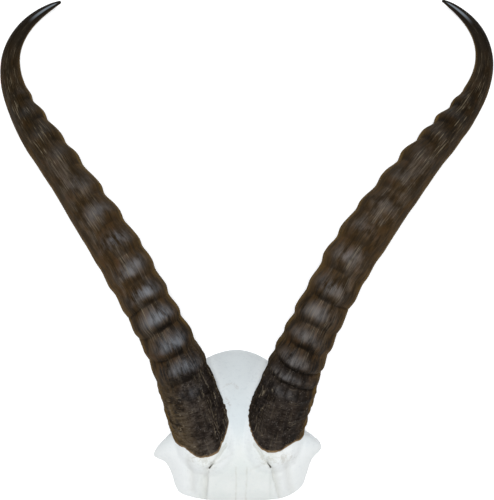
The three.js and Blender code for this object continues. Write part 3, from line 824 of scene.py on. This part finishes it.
class Keratin(Finish):
    """The horn's finish, with its masks and noises under their own names. Noises follow the fibre
    coordinates, which are millimetres on a straightened horn, or the strand coordinates, which
    close in on each other as the horn tapers. Each method gives a colour or the share of a coat."""

    def __init__(self, name):
        super().__init__(name)
        for key in HORN_MASKS:
            setattr(self, key, self.held(key))
        fibre = self.node("Attribute", {"attribute_name": "fibre"}, {}, "Vector")
        round_front, round_side = self.facing * STRANDS_ROUND, self.aside * STRANDS_ROUND
        parts = {0: round_front, 1: round_side, 2: self.part * STRANDS_ALONG}
        follows = {"fibre": fibre, "strand": self.node("CombineXYZ", {}, parts)}
        for key, (kind, stretch, *settings) in HORN_NOISES.items():
            setattr(self, key, self.noise(self.stretched(follows[kind], stretch), *settings))
        self.upper = self.step(self.part, 0.4, 0.7)
        self.middle = self.step(self.part, 0.2, 0.38) * (1 - self.step(self.part, 0.55, 0.72))
        self.front = self.step(self.facing, 0.66, 1.0)
        self.upside = self.step(self.facing, -0.5, 0.05)
        self.edge = self.step(abs(self.aside), 0.6, 1.0)
        self.outer = self.step(self.aside, 0.0, -0.8)
        self.bare = 1 - self.low * (1 - self.outer) * 0.9

    def fibres(self):
        """Dark and mid brown fibres, tan half way up, with reddish clouds."""
        grain = self.streaks * (0.3 + self.upper * 0.2) + self.clouds * (0.45 - self.upper * 0.2)
        tone = self.step(grain + self.fine * 0.25, 0.44, 0.57)
        base = self.mix(tone, FIBRE_DARK, FIBRE_MID)
        base = self.mix(self.middle * 0.15, base, TAN)
        return self.mix(self.step(self.clouds, 0.54, 0.72) * 0.4, base, RED_BROWN)

    def leather(self):
        """The wrinkled horn near the base: dark patches on grey, or on tan on the outer side of
        the pale horn, with a painted sheen where it faces up."""
        base = self.mix(self.pale * self.outer, LEATHER_GREY, LEATHER_TAN)
        patch = self.wrinkle * 0.4 + self.mottle * 0.2 + self.broad * 0.4
        base = self.mix(self.step(patch, 0.38, 0.6), LEATHER_DARK, base)
        base = self.mix((1 - self.pale) * 0.25, base, LEATHER_BLACK)
        # A sheen painted where the leather's lumps face up.
        painted_sheen = self.step(self.mottle * 0.4 + self.wrinkle * 0.35 + self.broad * 0.25, 0.46, 0.62)
        painted_sheen = painted_sheen * self.step(self.facing, 0.3, 1.0) * (0.24 + self.pale * 0.2)
        return self.mix(painted_sheen, base, LEATHER_PAINTED_SHEEN)

    def ochre(self):
        """Ochre sides, in threads and clouds, down to the leather and over it on the outer side."""
        patchy = self.step(self.broad, 0.3, 0.6) * (1 - self.upper * 0.4) + self.upper * 0.4
        threads = 0.45 + self.step(self.streaks, 0.4, 0.6) * 0.55
        cloudy = 0.45 + self.step(self.clouds, 0.42, 0.6) * 0.45
        return self.edge * patchy * self.bare * self.upside * threads * cloudy

    def side_line(self):
        """A paler ochre line where the sides turn under."""
        threads = self.step(self.streaks * 0.5 + self.clouds * 0.5, 0.42, 0.58)
        line = self.step(abs(self.aside), 0.87, 0.99) * self.bare
        return line * self.upside * (0.28 + threads * 0.4)

    def wear_and_sheen(self):
        """Worn patches and a painted highlight on the crests: more on the pale horn, fewer further
        up.
        """
        patch = self.step(self.fine * 0.2 + self.clouds * 0.4 + self.broad * 0.4, 0.38, 0.58)
        kept = (1 - self.step(self.part, 0.3, 0.5) * 0.35) * (1 - self.upper * 0.6)
        return self.crest * patch * (0.54 + self.pale * 0.22) * kept

    def matt_front_and_sheen(self):
        """A greyish matt front between the crests, partly a painted sheen, most of all half way up.
        """
        threads = 0.4 + self.step(self.streaks, 0.4, 0.62) * 0.6
        patch = self.step(self.broad, 0.42, 0.66) * self.front * threads
        return patch * (1 - self.low) * (0.15 + self.middle * 0.35) * (1 - self.upper * 0.6)

    def dirt_and_shade(self):
        """Dirt and painted shade in the grooves, thinner half way up, where the clouds are dark."""
        depth = 0.85 - self.step(self.part, 0.25, 0.45) * 0.4 + self.upper * 0.4
        return self.groove * depth * (1 - self.middle * 0.5 * self.step(self.clouds, 0.56, 0.44))

    def scratches(self):
        """Thin scratches on the front: long ones between the crests below, short ones above."""
        long, short = self.step(self.thin, 0.57, 0.65), self.step(self.sparse, 0.55, 0.66)
        share = long * (1 - self.upper) + short * self.upper
        share = share * self.front * self.step(self.broad, 0.4, 0.54) * (1 - self.low * 0.8)
        share = share * (1 - self.crest * 0.6 * (1 - self.upper)) * (1 - self.groove * 0.9)
        return share * (0.42 + self.upper * 0.1)

    def cream(self):
        """Cream flakes, peeling strips on the base's inner side, and crinkles on its outer side."""
        loose = self.step(self.fine * 0.5 + self.clouds * 0.5, 0.46, 0.58)
        flakes = self.step(self.flake, 0.3, 1.0) * loose
        inner = self.step(self.aside, 0.15, 0.7) * self.step(self.clouds, 0.4, 0.55)
        peeling = self.step(self.fine, 0.54, 0.64) * inner * self.low * (0.5 + self.pale * 0.4)
        crinkle = 1 - self.step(abs(self.ripple - 0.5), 0.002, 0.011)
        crinkle = crinkle * self.step(self.clouds, 0.47, 0.6) * self.step(self.aside, 0.2, -0.3)
        return (flakes + peeling) * 0.5 + crinkle * self.low * (0.25 + self.pale * 0.15)

    def sheen(self):
        """The light that the polished tip always catches along its front."""
        along = self.step(self.part, 0.92, 0.96) * (1 - self.step(self.part, 0.985, 0.998))
        return along * self.step(self.facing, 0.94, 1.0)

    def glints(self):
        """Small shiny specks, most of them near the base."""
        return self.step(self.specks, 0.63, 0.72) * (0.15 + self.low * 0.85)

    def relief(self):
        """The height of the finest relief, for the bump: strands, and wrinkles near the base."""
        wrinkles = (self.mottle + self.wrinkle * 1.8) * self.low
        return self.streaks * (1 - self.low) * 0.4 + self.fine * 0.3 + wrinkles


def horn_finish():
    """Keratin: fibres and leather, then what colours, wears, soils and scratches them, with painted
    highlights and painted shade among the coats.
    """
    made = Keratin("horn_keratin")
    base = made.coated(made.fibres(), (
        (made.low * 0.9, made.leather()),
        (made.upper * 0.45, made.mix(made.pale, UPPER_DARK, UPPER_OLIVE)),
        (made.ochre(), OCHRE),
        # Worn patches and a painted highlight on the crests.
        (made.wear_and_sheen(), made.mix(made.pale, WORN_SHEEN_GREY, WORN_SHEEN_BLUE)),
        (made.crest * made.upper * 0.6, RING_DARK),
        # A greyish front, partly a painted sheen where it faces the lamp.
        (made.matt_front_and_sheen(), MATT_FRONT_AND_SHEEN),
        # Dirt and painted shade in the grooves.
        (made.dirt_and_shade(), GROOVE_DIRT_AND_SHADE),
        (made.cut * 0.9, CRACK),
        (made.scratches(), SCRATCH),
        (made.cream(), CREAM),
        (made.step(made.part, 0.78, 0.92) * 0.8, TIP_BLACK),
        (made.sheen() * 0.65, TIP_SHEEN),
        (made.glints() * 0.35, GLINT),
        (made.side_line(), SIDE_LINE),
        (made.step(made.rim + made.mottle * 0.7, 0.68, 1.05) * 0.75, RIM_TAN),
    ))
    bump_sockets = {"Strength": 0.7, "Distance": 0.0005, "Height": made.relief()}
    return made.done({
        "Base Color": base,
        "Roughness": 0.5 + made.fine * 0.06 + made.edge * 0.3 + made.low * 0.1 + made.cut * 0.2,
        "IOR": 1.16,
        "Specular Tint": (1.0, 0.85, 0.7, 1.0),
        "Normal": made.node("Bump", {}, bump_sockets),
    })


# Screen colours of the bone, from its body up to what lies on it, painted light and shade among
# them.
BONE_WARM, BONE_COOL = (215, 217, 214), (209, 213, 210)
FLANK_WHITE, DOME_BLUE, FOOT_PAINTED_LIGHT = (219, 221, 220), (201, 208, 210), (236, 239, 239)
CROWN_GREY, CROWN_PAINTED_LIGHT = (212, 217, 218), (238, 242, 243)
MOTTLE_BLUE, PORE, VEIN = (190, 197, 201), (168, 160, 142), (142, 122, 106)
ROUGH_BROW, GRIME_AND_SHADE, SLIT_SHADE = (168, 158, 136), (170, 166, 152), (58, 52, 34)


def bone_finish():
    """Bleached bone: cool white, bluer on the dome, with faint clouds, fine mottles and pores, a
    few rusty veins, worm-like stains on the rough brow, slits painted dark as their shade,
    soiled seams, painted shade along the panel's edges, creases, valleys and folds, and painted
    light beside the horns and on the slopes of their feet."""
    made = Finish("bleached_bone")
    place = made.stretched(made.node("TexCoord", {}, {}, "Object"), (1 / METRE,) * 3)
    across = made.node("SeparateXYZ", {}, {0: place}, 0)
    forward = made.node("SeparateXYZ", {}, {0: place}, 1)
    clouds = made.noise(place, 0.07, 4.0)
    mottle = made.noise(place, 0.45, 4.0, 0.65)
    grain = made.noise(place, 1.4, 4.0, 0.6)
    pores = made.noise(place, 0.9, 2.0)
    dome = made.step(forward, -132.0, -108.0)
    crown = made.step(forward, -104.0, -86.0)
    worms = made.step(grain * 0.5 + mottle * 0.5, 0.46, 0.6)
    base = made.coated(made.mix(made.step(clouds, 0.35, 0.68), BONE_WARM, BONE_COOL), (
        (made.step(abs(across - MIDLINE_X), 21.0, 30.0), FLANK_WHITE),
        (dome, DOME_BLUE),
        # Light painted on the slopes of the horns' feet, which shade darker.
        (made.held("slope") * 0.6, FOOT_PAINTED_LIGHT),
        (crown * 0.6, CROWN_GREY),
        # Light painted on the crown beside the horns, against their shade.
        (made.held("close") * crown * 0.55, CROWN_PAINTED_LIGHT),
        (made.step(mottle, 0.5, 0.72) * (0.2 + dome * 0.2), MOTTLE_BLUE),
        (made.step(pores, 0.7, 0.8) * 0.25, PORE),
        (made.held("vein") * made.step(grain, 0.4, 0.6) * 0.5, VEIN),
        (made.held("rough") * worms * 0.42, ROUGH_BROW),
        # Dark seams, and painted shade beside the panel's edges and in the creases, valleys, slits
        # and folds.
        (made.held("grime_and_shade") * 0.4, GRIME_AND_SHADE),
        # The slits painted dark as the shade in the holes.
        (made.step(made.held("slit"), 0.45, 0.9), SLIT_SHADE),
    ))
    bump_sockets = {"Strength": 0.4, "Distance": 0.0004, "Height": grain}
    return made.done({
        "Base Color": base,
        "Roughness": 0.45 + mottle * 0.16,
        "Specular IOR Level": 0.35,
        "Normal": made.node("Bump", {}, bump_sockets),
    })


# ------------------------------------------------------------------ the set

def floor_piece():
    """A plain pale floor, just under the part, that glows a little."""
    mesh = bpy.data.meshes.new("floor")
    quarters = ((-1, -1), (1, -1), (1, 1), (-1, 1))
    corners = [(x * FLOOR_HALF, y * FLOOR_HALF, -FLOOR_DEPTH) for x, y in quarters]
    mesh.from_pydata(corners, [], [(0, 1, 2, 3)])
    floor = bpy.data.objects.new("floor", mesh)
    bpy.context.scene.collection.objects.link(floor)
    finish = Finish("pale_floor")
    mesh.materials.append(finish.done({
        "Base Color": colour(*FLOOR_WHITE),
        "Roughness": 0.9,
        "Emission Color": (1, 1, 1, 1),
        "Emission Strength": FLOOR_GLOW,
    }))


def soft_box(name, place, side, watts):
    """A square lamp at place, facing the part."""
    lamp = bpy.data.lights.new(name, "AREA")
    lamp.shape = "SQUARE"
    lamp.size = side
    lamp.energy = watts
    lamp.color = LAMP_TINT
    made = bpy.data.objects.new(name, lamp)
    made.location = place
    towards = -np.array(place, float)
    yaw = np.arctan2(towards[0], -towards[1])
    pitch = np.arctan2(np.hypot(towards[0], towards[1]), -towards[2])
    made.rotation_euler = (pitch, 0, yaw + np.pi)
    made.visible_camera = False
    bpy.context.scene.collection.objects.link(made)


def set_camera():
    """The camera looks straight down on the part from so far above, and at the given level the
    long side of its frame takes in the span, all in millimetres."""
    above, level, sensor, span = 1450.0, 15.0, 36.0, 325.0
    data = bpy.data.cameras.new("camera")
    data.sensor_width = sensor
    data.lens = sensor * above / span
    camera = bpy.data.objects.new("camera", data)
    camera.location = (np.array([0, 0, above + level]) + SHIFT) * METRE
    bpy.context.scene.collection.objects.link(camera)
    bpy.context.scene.camera = camera


def set_light():
    """A white surround and two soft lamps, with colours shown as they are."""
    world = bpy.data.worlds.new("studio")
    world.use_nodes = True
    bpy.context.scene.world = world
    backdrop = world.node_tree.nodes["Background"]
    backdrop.inputs["Color"].default_value = (1, 1, 1, 1)
    backdrop.inputs["Strength"].default_value = BACKDROP_STRENGTH
    for lamp in LAMPS:
        soft_box(*lamp)
    bpy.context.scene.view_settings.view_transform = "Standard"


# ------------------------------------------------------------------ putting it together

def main():
    horn_material = horn_finish()
    for horn in (LEFT_HORN, RIGHT_HORN):
        sheath = horn_piece(horn)
        sheath.data.materials.append(horn_material)
        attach(sheath, "root")
        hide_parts(horn["name"])
    bone = skull_piece()
    bone.data.materials.append(bone_finish())
    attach(bone, "root")
    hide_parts("skull_plate")
    floor_piece()
    set_camera()
    set_light()


main()
